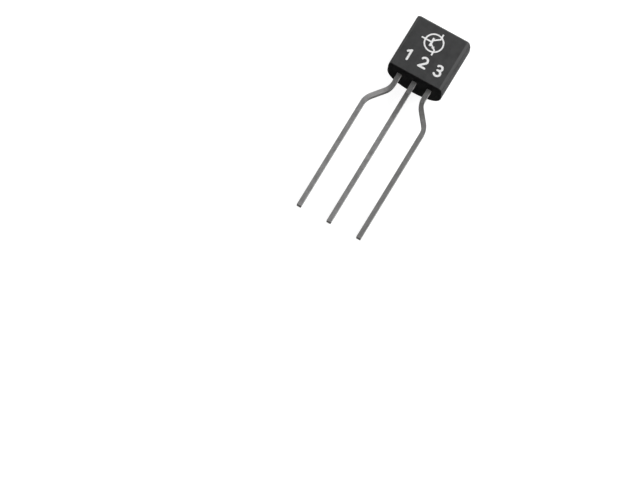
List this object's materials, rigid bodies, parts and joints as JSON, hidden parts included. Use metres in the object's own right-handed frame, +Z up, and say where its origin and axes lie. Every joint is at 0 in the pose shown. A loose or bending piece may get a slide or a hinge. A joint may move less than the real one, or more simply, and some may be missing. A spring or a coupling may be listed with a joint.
{
  "type": "to-92 transistor",
  "caption": "Small-signal transistor in a D-shaped moulded case with a flat face, with a row of leads formed apart for a circuit board.",
  "frame": {"origin": "on the ground under the middle of the part's footprint, as it lies on its round back and lead tips with the flat face up", "axes": "+X across the row of leads, from the emitter to the base, +Y from the lead tips to the head of the case, +Z up"},
  "size_m": [0.0054, 0.0176, 0.0039],
  "materials": {
    "case": "satin moulded epoxy, fine grain",
    "lead": "dull tin plate",
    "solder": "dull solder",
    "chip": "polished silicon",
    "bond_wire": "bright gold wire"
  },
  "bodies": {
    "root": {"case": "case", "emitter_lead": "lead", "collector_lead": "lead", "base_lead": "lead", "die_attach": "solder", "chip": "chip", "emitter_wire": "bond_wire", "base_wire": "bond_wire"}
  },
  "joints": []
}
